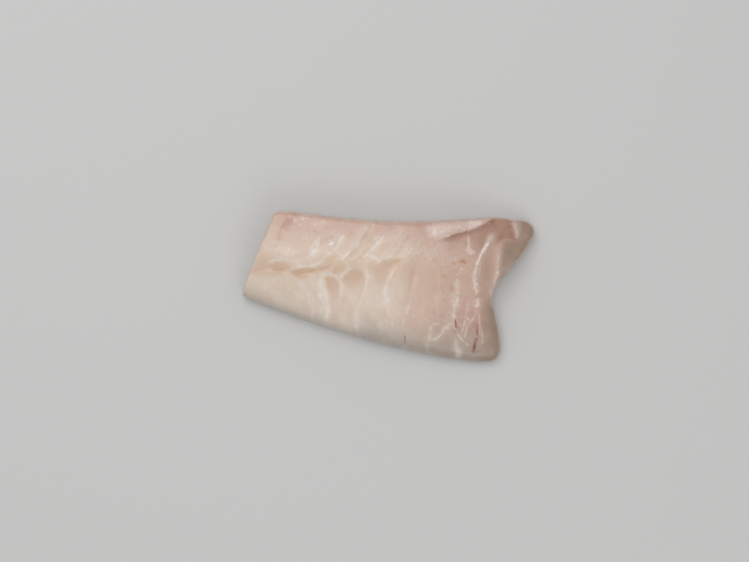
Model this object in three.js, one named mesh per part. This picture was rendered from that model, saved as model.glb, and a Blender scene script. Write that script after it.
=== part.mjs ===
// A skinless portion of raw cod fillet, lying on its flat skinned side with the flaked flesh up.
// Millimetres, +Z up. X runs along the fillet from the square knife cut (-X) to the head end (+X).
// Y runs across it from the tapering belly edge (-Y) to the thick back edge (+Y).
// The origin is the middle of the flat base.
import * as THREE from "three";
import { ParametricGeometry } from "three/addons/geometries/ParametricGeometry.js";
import { mergeGeometries, mergeVertices } from "three/addons/utils/BufferGeometryUtils.js";

const { clamp, lerp, smoothstep } = THREE.MathUtils;

// Thickness of the flesh: at the knife cut, at the thickest place and at the head end
const CUT_THICKNESS = 21;
const FULL_THICKNESS = 24;
const HEAD_THICKNESS = 15;
const FULL_AT = 0.36; // share of the length where the fillet is thickest
const CREST_AT = 0.6; // share of the width where the crown is highest
const BELLY_SHARE = 0.4; // crown height left at the belly edge, before its rounding
const BACK_SHARE = 0.9; // crown height left at the back edge, before its rounding
const NAPE_SHARE = 0.7; // thickness left at the tip of the nape
const NAPE_REACH = 34; // how far from its tip the nape thins

// Edges: the share of the patch over which each side rounds down, and how square the rounding is
const CUT_ROUND = { share: 0.013, steps: 6, power: 3 };
const HEAD_ROUND = { share: 0.034, steps: 6, power: 2.2 };
const BELLY_ROUND = { share: 0.055, steps: 5, power: 2.3 };
const BACK_ROUND = { share: 0.065, steps: 6, power: 2.4 };
const RIM_HEIGHT = 2.4; // height of the widest line round the fillet
const FOOT_INSET = 1.2; // how far the base is drawn in under that line
const FOOT_STEPS = 2;

// Facets between the rounded edges, along and across the fillet
const LENGTH_STEPS = 92;
const WIDTH_STEPS = 36;
const MERGE_DISTANCE = 1e-3; // vertices nearer than this are one

// Relief shared by the flake seams
const SEAM_EDGE = 1.9; // half width of the step at a seam
const SEAM_REACH = 5; // how far the step dies away to each side
const CURVE_STEPS = 28; // chords that stand for one seam
const END_FADE = 0.18; // share of a seam over which it runs out at each end
const BACK_RISE = 0.6; // height of the step at a seam of the back
const BELLY_RISE = 0.55; // height of the step at a seam of the belly

// Outline, corner to corner

const backCorner = [-69, 45];
const napeTip = [86.6, 39.2];
const flapCorner = [66.9, -43.7];
const sharpCorner = { x: -87.4, y: -4.2, radius: 2.6, turn: Math.PI / 4 }; // arc at the cut's belly end
const sharpMiddle = 3.536; // angle at the middle of that arc, where two sides of the patch meet
const bellyCorner = [
  sharpCorner.x + sharpCorner.radius * Math.cos(sharpMiddle),
  sharpCorner.y + sharpCorner.radius * Math.sin(sharpMiddle),
];

const points = (list) => list.map(([x, y]) => new THREE.Vector2(x, y));

// Half of the arc at the cut's belly end, from its middle out to one side of the patch
function halfCorner({ x, y, radius, turn }, clockwise) {
  const end = sharpMiddle + (clockwise ? -turn : turn);
  return new THREE.Path().absarc(x, y, radius, sharpMiddle, end, clockwise);
}

const cutEnd = halfCorner(sharpCorner, true)
  .lineTo(-71.7, 41.3)
  .quadraticCurveTo(-70.7, 43.7, ...backCorner);

const bellyEdge = halfCorner(sharpCorner, false)
  .splineThru(points([[-83.2, -8.8], [-52.9, -19.9], [-19, -31.2], [9.6, -38.7], [36, -44.3], [56.6, -46.5]]))
  .quadraticCurveTo(64, -47.4, ...flapCorner);

const headEnd = new THREE.Path()
  .moveTo(...flapCorner)
  .quadraticCurveTo(69.6, -40.6, 69, -33)
  .splineThru(points([[66.7, -20], [64.3, -11], [64.6, -4]]))
  .quadraticCurveTo(65, -0.8, 67.6, 2.2)
  .splineThru(points([[75.3, 10.4], [82, 18.2], [88, 27.8]]))
  .quadraticCurveTo(92.86, 34.4, ...napeTip);

const backEdge = new THREE.Path()
  .moveTo(...backCorner)
  .quadraticCurveTo(-66.2, 47.5, -58, 46.2)
  .splineThru(points([[-30, 42.8], [-2, 40.7], [26, 40.8], [56.6, 42.4], [68.4, 42.7], [77, 41]]))
  .quadraticCurveTo(83.4, 41.6, ...napeTip);

// Where the middle of the patch lies in plan: a Coons patch stretched between the four sides
function planAt(u, v) {
  const belly = bellyEdge.getPointAt(u);
  const back = backEdge.getPointAt(u);
  const cut = cutEnd.getPointAt(v);
  const head = headEnd.getPointAt(v);
  const blend = (axis, corner) =>
    lerp(belly[axis], back[axis], v) +
    lerp(cut[axis], head[axis], u) -
    lerp(
      lerp(bellyCorner[corner], flapCorner[corner], u),
      lerp(backCorner[corner], napeTip[corner], u),
      v,
    );
  return new THREE.Vector2(blend("x", 0), blend("y", 1));
}

// A step in the flesh along a seam. The flesh to the left of the seam's direction stands up at the seam,
// the flesh to its right dips, and both die away over the reach.
class Step {
  constructor(route, rise, reach = SEAM_REACH, edge = SEAM_EDGE) {
    this.line = new THREE.SplineCurve(points(route)).getPoints(CURVE_STEPS);
    Object.assign(this, { rise, reach, edge });
  }

  // Signed distance to the seam, and the share of the seam passed at its nearest point
  nearest(place) {
    let best = { distance: Infinity, along: 0 };
    for (let k = 0; k < CURVE_STEPS; k++) {
      const from = this.line[k];
      const chord = this.line[k + 1].clone().sub(from);
      const offset = place.clone().sub(from);
      const share = clamp(offset.dot(chord) / chord.lengthSq(), 0, 1);
      const gap = offset.clone().addScaledVector(chord, -share).length();
      if (gap < Math.abs(best.distance)) {
        best = { distance: gap * (chord.cross(offset) < 0 ? -1 : 1), along: (k + share) / CURVE_STEPS };
      }
    }
    return best;
  }

  riseAt(place) {
    const { distance, along } = this.nearest(place);
    const fade = smoothstep(along, 0, END_FADE) * smoothstep(1 - along, 0, END_FADE);
    return this.rise * fade * Math.tanh(distance / this.edge) * Math.exp(-Math.abs(distance) / this.reach);
  }
}

// Seams between the flakes, from the lateral line out to the back edge
const backSeams = [
  [[-66.8, 24], [-66.2, 33.1], [-60.3, 42.1]],
  [[-75.8, 13.6], [-66.5, 16.6], [-52.3, 16.4], [-42.6, 25.2], [-40.9, 31.2]],
  [[-64, 9], [-46.5, 12.3], [-37.4, 19], [-30, 26.5], [-26.6, 35.6]],
  [[-43.6, 8.4], [-29, 15.6], [-19.9, 23.2], [-9.6, 39.3]],
  [[-30.6, 5.6], [-21.9, 12.4], [-12.2, 21.3], [-2.5, 30.7]],
  [[-13.6, 5.9], [-9.3, 13], [1.2, 18.2], [11.8, 34.3]],
].map((route) => new Step(route, BACK_RISE));

// Seams from the lateral line down to the belly edge
const bellySeams = [
  [[-55.5, 7.1], [-50.4, -2], [-46.1, -13.9]],
  [[-43.4, 7.4], [-39.3, -0.7], [-37.9, -20.7]],
  [[-43.2, 7.6], [-34.1, 7.4], [-28.9, 2.8], [-30.6, -19.5]],
  [[-21.9, 12.4], [-16.4, 9.5], [-14.2, 1.5], [-20.2, -23.2]],
  [[8.7, 18.6], [-1.5, 1], [-3.8, -23.2]],
  [[17.9, 12.7], [15.6, 1.9], [9, -24.4]],
  [[29.4, 12.7], [30, 0.9], [25.7, -33.1]],
  [[41.1, 4], [40, -13.9], [41, -36]],
].map((route) => new Step(route, BELLY_RISE));

// Folds of the head end: the lip of membrane along the back, two folds across the fillet,
// and the two sides of the hollow at the root of the nape
const headFolds = [
  new Step([[29.4, 28.8], [39.2, 32.3], [51, 35.6], [66.5, 43.3]], 1.2, 6, 2.1),
  new Step([[64.3, 32.8], [56.2, 19.8], [51.6, 2], [53.7, -13.9]], 0.8, 5, 1.9),
  new Step([[68, 24.4], [65.6, 13], [64.4, 2], [63.3, -7.7]], 0.5, 4, 1.9),
  new Step([[74.5, 44.5], [76.3, 36], [78, 28.8]], 1, 4, 1.7),
  new Step([[81.3, 27.5], [73.7, 29.9], [65.6, 26.5], [62.2, 23.8]], 0.6, 4, 1.9),
];

// Shallow dips: the groove of the lateral line, the wells at the heads of the flakes, the nape's hollow
const lateralLine = new Step([[-88, 9.9], [-72, 11], [-54.7, 9.5], [-30, 7]], 0, 0, 0);
const LATERAL_DEPTH = 0.6;
const LATERAL_HALF_WIDTH = 2.8;
const LATERAL_FADE = 0.3; // share of the groove over which it runs out towards the head
const dips = [
  { at: [-34.5, 0.5], radii: [4.2, 8.5], depth: 0.4 },
  { at: [-19.5, 5.5], radii: [5.5, 6.5], depth: 0.45 },
  { at: [2.2, 12.5], radii: [5.5, 7], depth: 0.4 },
  { at: [10.6, 0], radii: [3.4, 10], depth: 0.35 },
  { at: [70, 36.5], radii: [6.2, 7], depth: 1.1 },
  { at: [44.8, 15], radii: [4, 3.2], depth: 0.4 },
];

function grooveAt(place) {
  const { distance, along } = lateralLine.nearest(place);
  const fade = smoothstep(1 - along, 0, LATERAL_FADE);
  return -LATERAL_DEPTH * fade * Math.exp(-((distance / LATERAL_HALF_WIDTH) ** 2));
}

function dipAt(place, { at, radii, depth }) {
  return -depth * Math.exp(-(((place.x - at[0]) / radii[0]) ** 2) - ((place.y - at[1]) / radii[1]) ** 2);
}

function reliefAt(place) {
  const steps = [...backSeams, ...bellySeams, ...headFolds];
  return (
    grooveAt(place) +
    steps.reduce((sum, step) => sum + step.riseAt(place), 0) +
    dips.reduce((sum, dip) => sum + dipAt(place, dip), 0)
  );
}

// Height of the crown before the edges are rounded: a parabola each way from its highest place
function crownAt(u, v, place) {
  const fall = (x, peak) => (x < peak ? (peak - x) / peak : (x - peak) / (1 - peak)) ** 2;
  const along = lerp(FULL_THICKNESS, u < FULL_AT ? CUT_THICKNESS : HEAD_THICKNESS, fall(u, FULL_AT));
  const across = lerp(1, v < CREST_AT ? BELLY_SHARE : BACK_SHARE, fall(v, CREST_AT));
  const fromTip = Math.hypot(place.x - napeTip[0], place.y - napeTip[1]);
  return along * across * lerp(NAPE_SHARE, 1, smoothstep(fromTip, 0, NAPE_REACH));
}

// 0 at a side, rising to 1 where its rounding ends
function rounding(x, { share, power }) {
  const inward = 1 - clamp(x / share, 0, 1);
  return (1 - inward ** power) ** (1 / power);
}

function edgeAt(u, v) {
  const ends = rounding(u, CUT_ROUND) * rounding(1 - u, HEAD_ROUND);
  return ends * rounding(v, BELLY_ROUND) * rounding(1 - v, BACK_ROUND);
}

// Shares at which facets meet: even turns of angle over each rounded edge, even steps between them
function rowsOf(start, middleSteps, end) {
  const turn = ({ share, steps, power }, k) =>
    share * (1 - Math.cos((Math.PI / 2) * (k / steps)) ** (2 / power));
  const first = Array.from({ length: start.steps }, (_, k) => turn(start, k));
  const last = Array.from({ length: end.steps }, (_, k) => 1 - turn(end, k)).reverse();
  const middle = Array.from({ length: middleSteps + 1 }, (_, k) =>
    lerp(start.share, 1 - end.share, k / middleSteps),
  );
  return [...first, ...middle, ...last];
}

const lengthRows = rowsOf(CUT_ROUND, LENGTH_STEPS, HEAD_ROUND);
const widthRows = rowsOf(BELLY_ROUND, WIDTH_STEPS, BACK_ROUND);

// The share that lies a given part of the way through a list of rows
function rowAt(rows, part) {
  const place = part * (rows.length - 1);
  const k = Math.min(Math.floor(place), rows.length - 2);
  return lerp(rows[k], rows[k + 1], place - k);
}

function flesh(s, t, target) {
  const u = rowAt(lengthRows, s);
  const v = rowAt(widthRows, t);
  const place = planAt(u, v);
  const edge = edgeAt(u, v);
  const height = RIM_HEIGHT + (crownAt(u, v, place) - RIM_HEIGHT) * edge + reliefAt(place) * edge ** 2;
  target.set(place.x, place.y, height);
}

// The widest line round the fillet, anticlockwise from the belly corner
function rimLoop() {
  const n = lengthRows.length - 1;
  const m = widthRows.length - 1;
  const steps = [
    ...Array.from({ length: n }, (_, k) => [k / n, 0]),
    ...Array.from({ length: m }, (_, k) => [1, k / m]),
    ...Array.from({ length: n }, (_, k) => [1 - k / n, 1]),
    ...Array.from({ length: m }, (_, k) => [0, 1 - k / m]),
  ];
  return steps.map(([s, t]) => {
    const place = new THREE.Vector3();
    flesh(s, t, place);
    return place;
  });
}

const rim = rimLoop();

// Inward direction in plan at each point of the rim
const inward = rim.map((_, k) => {
  const before = rim[(k + rim.length - 1) % rim.length];
  const after = rim[(k + 1) % rim.length];
  return new THREE.Vector3(before.y - after.y, after.x - before.x, 0).normalize();
});

// The foot turns in under the rim: s goes round the fillet, t rises from the base to the rim
function foot(s, t, target) {
  const k = Math.round(s * rim.length) % rim.length;
  const angle = (Math.PI / 2) * t;
  target.copy(rim[k]).addScaledVector(inward[k], FOOT_INSET * (1 - Math.sin(angle)));
  target.z = rim[k].z * (1 - Math.cos(angle));
}

function baseGeometry() {
  const loop = rim.map((_, k) => {
    const place = new THREE.Vector3();
    foot(k / rim.length, 0, place);
    return new THREE.Vector2(place.x, place.y);
  });
  const base = new THREE.ShapeGeometry(new THREE.Shape(loop));
  base.setIndex(Array.from(base.index.array).reverse()); // faces down
  return base;
}

function filletGeometry() {
  const faces = [
    new ParametricGeometry(flesh, lengthRows.length - 1, widthRows.length - 1),
    new ParametricGeometry(foot, rim.length, FOOT_STEPS),
    baseGeometry(),
  ];
  const open = mergeGeometries(faces).deleteAttribute("normal").deleteAttribute("uv");
  const closed = mergeVertices(open, MERGE_DISTANCE);
  closed.computeVertexNormals();
  return closed;
}

const flakyFlesh = new THREE.MeshStandardMaterial({ color: 0xcdb4a2, roughness: 0.42, metalness: 0 });

const fillet = new THREE.Mesh(filletGeometry(), flakyFlesh);
fillet.name = "fillet";

const group = new THREE.Group();
group.add(fillet);

export default group;
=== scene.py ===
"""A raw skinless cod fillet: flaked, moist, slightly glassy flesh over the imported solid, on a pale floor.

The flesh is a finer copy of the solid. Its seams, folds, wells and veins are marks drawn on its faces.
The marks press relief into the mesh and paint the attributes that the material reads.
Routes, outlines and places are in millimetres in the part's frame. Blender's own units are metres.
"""

import math
from typing import NamedTuple

import bpy
import numpy as np
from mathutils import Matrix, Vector


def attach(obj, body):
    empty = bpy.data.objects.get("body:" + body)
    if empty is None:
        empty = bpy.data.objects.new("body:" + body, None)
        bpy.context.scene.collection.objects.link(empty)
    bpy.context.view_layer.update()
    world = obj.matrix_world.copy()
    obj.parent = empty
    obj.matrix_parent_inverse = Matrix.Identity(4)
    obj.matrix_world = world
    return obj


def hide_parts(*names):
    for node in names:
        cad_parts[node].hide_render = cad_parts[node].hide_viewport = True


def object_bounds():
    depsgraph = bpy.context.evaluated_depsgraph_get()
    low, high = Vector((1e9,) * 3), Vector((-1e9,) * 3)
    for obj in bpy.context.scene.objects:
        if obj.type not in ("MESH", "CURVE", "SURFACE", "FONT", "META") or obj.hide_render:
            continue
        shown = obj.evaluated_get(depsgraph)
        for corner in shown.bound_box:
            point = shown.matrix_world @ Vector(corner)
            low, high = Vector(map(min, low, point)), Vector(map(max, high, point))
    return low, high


bl_info = {
    "name": "Cod Fillet",
    "version": (1, 0, 0),
    "blender": (4, 5, 0),
    "location": "3D View > Sidebar > Fillet",
    "description": "Models and colours a raw cod fillet over its solid, and sets a plain stage for it",
    "category": "Object",
}

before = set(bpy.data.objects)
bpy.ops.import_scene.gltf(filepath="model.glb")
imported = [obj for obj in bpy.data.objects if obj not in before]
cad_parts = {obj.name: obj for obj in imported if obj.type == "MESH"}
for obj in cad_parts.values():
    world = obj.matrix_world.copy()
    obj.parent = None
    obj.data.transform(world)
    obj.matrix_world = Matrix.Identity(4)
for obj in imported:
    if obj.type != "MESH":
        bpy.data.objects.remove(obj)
CAD_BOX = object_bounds()
MM = 0.001


def linear(code):
    """Linear colour of a hex sRGB code."""
    shares = [int(code[k : k + 2], 16) / 255 for k in (0, 2, 4)]
    return tuple(s / 12.92 if s <= 0.04045 else ((s + 0.055) / 1.055) ** 2.4 for s in shares)


def smoothstep(bare, full, x):
    """0 at the bare value, 1 at the full one, level beyond them and smooth between."""
    share = np.clip((x - bare) / (full - bare), 0, 1)
    return share * share * (3 - 2 * share)


# Measuring the surface

LATTICE = 128  # cells of noise before it repeats
ROUTE_STEPS = 8  # chords between two points of a route
NEARBY = 16  # how far round a route's box its distance is worked out, in mm
FAR = 1000.0  # distance that stands for anything further, in mm
LEAST_TURN = 0.2  # how far the surface turns towards a view before it shows there, as a cosine
SIDE_LEAST_TURN = 0.5  # the same for the two long sides
TURN_SPAN = 0.5  # how much further it turns until it shows in full
WAVE_SIZE = 2.8  # length of a line's broad waves, in mm
QUIVER_SIZE = 1.3  # length of its small ones, in mm
SWELL_SIZE = 3.4  # length over which a line grows thicker or thinner, in mm
GAP_SIZE = 2.6  # length of the long gaps in a line, in mm
NICK_SIZE = 0.9  # length of the short ones, in mm


def drift(plan, size, seed):
    """Smooth noise from 0 to 1 over the plan. The size of its features is one number, or one each way."""
    lattice = np.random.default_rng(seed).random((LATTICE, LATTICE))
    spots = plan / np.array(size)
    cells = np.floor(spots).astype(int)
    share = smoothstep(0, 1, spots - cells)

    def corner(right, up):
        return lattice[(cells[:, 0] + right) % LATTICE, (cells[:, 1] + up) % LATTICE]

    low = corner(0, 0) + share[:, 0] * (corner(1, 0) - corner(0, 0))
    high = corner(0, 1) + share[:, 0] * (corner(1, 1) - corner(0, 1))
    return low + share[:, 1] * (high - low)


def smooth_route(route):
    """A denser run of points along a Catmull-Rom curve through the route's own points."""
    knots = np.array([route[0], *route, route[-1]], float)
    steps = np.linspace(0, 1, ROUTE_STEPS, endpoint=False)[:, None]
    runs = []
    for a, b, c, d in zip(knots, knots[1:], knots[2:], knots[3:]):
        bend = (3 * b - 3 * c + d - a) * steps**3 + (2 * a - 5 * b + 4 * c - d) * steps**2
        runs.append(0.5 * (bend + (c - a) * steps + 2 * b))
    return np.vstack([*runs, knots[-1:]])


def beside(plan, route):
    """Signed distance from each place to a route, left of it positive, and the share of it passed there."""
    line = smooth_route(route)
    chords = np.diff(line, axis=0)
    lengths = np.hypot(*chords.T)
    passed = np.concatenate([[0], np.cumsum(lengths)]) / lengths.sum()
    distance = np.full(len(plan), -FAR)
    along = np.zeros(len(plan))
    within = (plan > line.min(axis=0) - NEARBY) & (plan < line.max(axis=0) + NEARBY)
    near = np.flatnonzero(within.all(axis=1))
    places = plan[near]
    for k, (start, chord, length) in enumerate(zip(line, chords, lengths)):
        offset = places - start
        share = np.clip(offset @ chord / length**2, 0, 1)
        gap = np.hypot(*(offset - share[:, None] * chord).T)
        closer = gap < np.abs(distance[near])
        left = chord[0] * offset[:, 1] - chord[1] * offset[:, 0] >= 0
        distance[near[closer]] = np.where(left, gap, -gap)[closer]
        along[near[closer]] = (passed[k] + share * (passed[k + 1] - passed[k]))[closer]
    return distance, along


def enclosed(plan, line):
    """Whether each place lies inside a closed line."""
    inside = np.zeros(len(plan), bool)
    for (x, y), (next_x, next_y) in zip(line, line[1:]):
        if y != next_y:
            crossed = (y > plan[:, 1]) != (next_y > plan[:, 1])
            crossing = x + (plan[:, 1] - y) * (next_x - x) / (next_y - y)
            inside ^= crossed & (plan[:, 0] < crossing)
    return inside


def fading(plan, full, bare):
    """1 up to the full place, falling to 0 at the bare one."""
    way = np.subtract(bare, full)
    return smoothstep(1, 0, (plan - full) @ way / (way @ way))


class Face:
    """The mesh as one face of the fillet shows it, in mm, with the unevenness that all its marks share."""

    def __init__(self, piece, across, up, facing, least=LEAST_TURN):
        count = len(piece.data.vertices)
        places = np.empty(count * 3, np.float32)
        normals = np.empty(count * 3, np.float32)
        piece.data.vertices.foreach_get("co", places)
        piece.data.vertex_normals.foreach_get("vector", normals)
        places = places.reshape(-1, 3).astype(float) / MM
        self.plan = places @ np.array([across, up], float).T
        self.height = places[:, 2]
        self.turned = normals.reshape(-1, 3).astype(float) @ np.array(facing, float)
        self.shown = smoothstep(least, least + TURN_SPAN, self.turned)
        self.wander = drift(self.plan, WAVE_SIZE, seed=1) + 0.6 * drift(self.plan, QUIVER_SIZE, seed=2) - 0.8
        self.swell = 0.5 + drift(self.plan, SWELL_SIZE, seed=3)
        gaps = 0.6 * drift(self.plan, GAP_SIZE, seed=4) + 0.4 * drift(self.plan, NICK_SIZE, seed=5)
        self.breaks = 0.3 + 0.7 * smoothstep(0.1, 0.8, gaps)


# Marks

END_FADE = 0.14  # share of a route over which its mark runs out at each end
WANDER = 0.6  # how far a line strays from its route, in mm
HALO_WIDTH = 3.2  # width of the haze, against the line's own width
SHADE_EDGE = (0.3, -0.6)  # where a shade starts, left of its route, and where it is full, in mm
SPECK_SIZES = (0.6, 1.4)  # smallest and largest speck, against the radius given
SPECK_LEVELS = (0.3, 1)  # faintest and strongest speck, against the strength given
STEP_FACE = 0.6  # half width of a step's face, in mm
STEP_REACH = 2.4  # how far from its route a step dies away, in mm
HATCH_HALO = 0.08
VEIN_WIDTH = 0.36  # half width of a fine vein, in mm
VEIN_HALO = 0.1


def end_fade(along):
    """1 along a route, falling to 0 at its ends."""
    return smoothstep(0, END_FADE, along) * smoothstep(0, END_FADE, 1 - along)


class Stroke(NamedTuple):
    """A hazy line that wanders, swells and breaks a little on its way."""

    strength: float
    half_width: float  # mm
    route: tuple
    halo: float = 0.34  # strength of the haze, against the whole line's

    def mask(self, face):
        distance, along = beside(face.plan, self.route)
        reach = (distance + WANDER * face.wander) / (self.half_width * face.swell)
        core = face.breaks * np.exp(-(reach**2))
        haze = np.exp(-((reach / HALO_WIDTH) ** 2))
        return self.strength * end_fade(along) * ((1 - self.halo) * core + self.halo * haze)


class Shade(NamedTuple):
    """A tone that lies to the right of a route and dies away from it."""

    strength: float
    reach: float  # mm
    route: tuple

    def mask(self, face):
        distance, along = beside(face.plan, self.route)
        side = smoothstep(*SHADE_EDGE, distance + WANDER * face.wander)
        return self.strength * end_fade(along) * side * np.exp(-((distance / self.reach) ** 2))


class Field(NamedTuple):
    """A closed outline that may fade from its full place towards its bare place."""

    strength: float
    blur: float  # half width of its soft edge, in mm
    outline: tuple
    full: tuple = ()
    bare: tuple = ()

    def mask(self, face):
        loop = (*self.outline, self.outline[0])
        distance = np.abs(beside(face.plan, loop)[0])
        depth = np.where(enclosed(face.plan, smooth_route(loop)), distance, -distance)
        inside = smoothstep(-self.blur, self.blur, depth + WANDER * face.wander)
        if self.full:
            inside = inside * fading(face.plan, self.full, self.bare)
        return self.strength * inside


class Fade(NamedTuple):
    """A tone over the whole face, full up to one place and gone from another on."""

    strength: float
    full: tuple
    bare: tuple

    def mask(self, face):
        return self.strength * fading(face.plan, self.full, self.bare)


class Patch(NamedTuple):
    """A soft oval: its middle and radii in mm, and its turn in degrees."""

    strength: float
    middle: tuple
    radii: tuple
    turn: float = 0

    def mask(self, face):
        turn = math.radians(self.turn)
        offset = face.plan - np.array(self.middle)
        across = offset @ np.array([math.cos(turn), math.sin(turn)]) / self.radii[0]
        up = offset @ np.array([-math.sin(turn), math.cos(turn)]) / self.radii[1]
        return self.strength * np.exp(-(across**2) - up**2)


class Specks(NamedTuple):
    """Small spots scattered about a route."""

    strength: float
    radius: float  # mm
    spread: float  # how far they stray from the route, in mm
    count: int
    seed: int
    route: tuple

    def mask(self, face):
        draw = np.random.default_rng(self.seed)
        line = smooth_route(self.route)
        spots = draw.choice(line, self.count) + draw.normal(0, self.spread, (self.count, 2))
        radii = self.radius * draw.uniform(*SPECK_SIZES, self.count)
        levels = self.strength * draw.uniform(*SPECK_LEVELS, self.count)
        mask = np.zeros(len(face.plan))
        for spot, radius, level in zip(spots, radii, levels):
            gap = np.hypot(*(face.plan - spot).T)
            mask = np.maximum(mask, level * np.exp(-((gap / radius) ** 2)))
        return mask


class Step(NamedTuple):
    """Relief along a seam or fold, in mm: it lies in a groove, with its left side raised above its right."""

    rise: float
    groove: float
    route: tuple

    def height(self, face):
        distance, along = beside(face.plan, self.route)
        side = np.tanh((distance + WANDER * face.wander) / STEP_FACE)
        near = np.exp(-np.abs(distance) / STEP_REACH)
        return end_fade(along) * near * (self.rise * side - self.groove) * face.shown


def fine_vein(strength, route):
    return Stroke(strength, VEIN_WIDTH, route, VEIN_HALO)


def hatch(strength, half_width, start, end, way, count):
    """Short parallel lines set between two places, each running the given way."""
    middles = [np.add(start, np.subtract(end, start) * k / (count - 1)) for k in range(count)]
    routes = [(tuple(np.subtract(m, way)), tuple(m), tuple(np.add(m, way))) for m in middles]
    return tuple(Stroke(strength, half_width, route, HATCH_HALO) for route in routes)


def cover(face, marks, weight):
    """What all the marks cover together on a face, where the weight lets them."""
    bare = np.ones(len(face.plan))
    for mark in marks:
        bare *= 1 - mark.mask(face) * weight
    return 1 - bare


# Seams between the flakes, from the square cut to the head

BACK_0 = ((-71.5, 17), (-68, 22), (-66.3, 31), (-62.5, 38), (-56.5, 45))
BACK_1 = (
    (-75.8, 13.6), (-71.4, 15.6), (-66.5, 16.6), (-59.4, 16.1), (-52.3, 16.4), (-46.5, 20), (-42.6, 25.2),
    (-40.9, 31.2),
)
BACK_2 = (
    (-60, 10.4), (-53.6, 12.2), (-46.5, 12.3), (-41.3, 14.8), (-37.4, 19), (-32.8, 22.2), (-28.4, 29),
    (-26.6, 35.6),
)
BACK_3 = (
    (-29.4, 14.8), (-24.4, 20.3), (-19.9, 23.8), (-17.8, 28), (-16.4, 31.8), (-13.4, 34.6), (-7.6, 39.2),
)
BACK_4 = ((-16.5, 16.6), (-10.9, 21.9), (-7, 25.8), (-2, 31.5))
BACK_5 = ((-9.3, 13), (-3.4, 16.4), (1.2, 18.2), (6.8, 25.7), (11.8, 34.3))
BACK_6 = ((5, 14), (11, 17.5), (16, 23), (21.5, 32))
BACK_7 = ((18, 14), (24, 18), (28, 23), (31, 28))
BELLY_0 = ((-74, 9), (-69.5, 3), (-67, -4), (-65.5, -13))
BELLY_1 = ((-57, 6.4), (-53.9, 3.9), (-51, 0.1), (-49.1, -7.2), (-46.4, -13), (-46.6, -20))
BELLY_2 = ((-43.3, 6.8), (-41.2, 2.6), (-39, -2.8), (-37.6, -8.7), (-36.8, -13.1), (-38.4, -22))
BELLY_3 = ((-43.3, 7.1), (-37.4, 7.7), (-33, 6.4), (-29.6, 3.4), (-28.3, 0.6), (-29, -4), (-29.8, -13))
BELLY_4 = (
    (-13.6, 9.6), (-13.2, 5), (-14.4, -0.4), (-16.4, -6.6), (-18.2, -11.5), (-19.8, -22), (-19.4, -29),
)
BELLY_5 = (
    (6.4, 15.4), (2.4, 9.4), (-0.8, 2.6), (-2.1, -2.7), (-1.4, -8), (-3.4, -14.4), (-4, -20.7), (-3.2, -30),
)
BELLY_6 = ((16.8, 10), (15.8, 4), (14.5, -2), (12.7, -9.6), (10.3, -17), (9, -30))
BELLY_7 = ((29.4, 12.7), (30, 0.9), (28.1, -11.4), (26, -26), (25, -38))
BELLY_8 = ((43, 6), (41.7, -3), (40.2, -14), (40.5, -28), (42, -42))

# Folds of the head end
LIP = ((31, 28.6), (37, 30.9), (41.7, 32.5), (47.7, 33.8), (53.1, 35.7), (58.5, 38.5), (66.5, 43))
RIDGE_1 = (
    (62.8, 29.2), (58.8, 23.9), (55.1, 17.8), (53.2, 11.5), (51.9, 4.6), (52.4, -2), (53.9, -8),
    (53.6, -13.3),
)
RIDGE_2 = ((67.6, 22.4), (66.4, 17.7), (66.1, 11), (65.2, 5), (64, -1.4), (63.5, -7.7))
WALL = ((74.8, 41.6), (75.4, 39.4), (76.4, 35.2), (77.6, 29))
SILL = ((80.2, 28.5), (77.2, 29.3), (73.9, 30.2), (68.5, 29), (63.5, 25.4))

# The belly edge from head to tail, just outside the fillet and past its ends, and the part nearest the head
FLAP_EDGE = ((116, -40), (90, -47), (66, -48.6), (46, -47), (20, -42.4), (-10, -35), (-30, -29))
BELLY_EDGE = (*FLAP_EDGE[:-1], (-40, -25.6), (-70, -15.2), (-104, -1.5), (-136, 12))

# Seams down the sides, as seen square on: along the side and up
BELLY_ACROSS = (0.966, -0.26, 0)
BELLY_FACING = (-0.26, -0.966, 0)
BACK_SEAMS_AT = (-61, -49.5, -36, -23.5, -10, 5, 16.5, 29, 43, 55)
BELLY_SEAMS_AT = (-60, -40, -31, -22, -11, 6, 18, 35, 52)
BACK_SEAMS = tuple(((s, 26), (s - 1.5, 17), (s - 4, 9), (s - 8, 1)) for s in BACK_SEAMS_AT)
BELLY_SEAMS = tuple(((s - 0.6, 19), (s, 13), (s + 0.6, 7), (s - 0.4, 0)) for s in BELLY_SEAMS_AT)

# Relief along the seams and folds
TOP_STEPS = (
    *(Step(0.05, 0.16, route) for route in (BACK_1, BACK_2, BACK_3, BACK_4, BACK_5)),
    *(Step(0.06, 0.2, route) for route in (BELLY_1, BELLY_2, BELLY_3, BELLY_4, BELLY_5, BELLY_6)),
    *(Step(0.08, 0.12, route) for route in (BACK_0, BACK_6, BACK_7, BELLY_0, BELLY_7, BELLY_8)),
    Step(0.16, 0, LIP),
    Step(0.25, 0, RIDGE_1),
    Step(0.12, 0, RIDGE_2),
    Step(0.25, 0, WALL),
    Step(0.15, 0, SILL),
)
BACK_STEPS = tuple(Step(0.12, 0.28, route) for route in BACK_SEAMS)
BELLY_STEPS = tuple(Step(0.1, 0.22, route) for route in BELLY_SEAMS)

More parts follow.
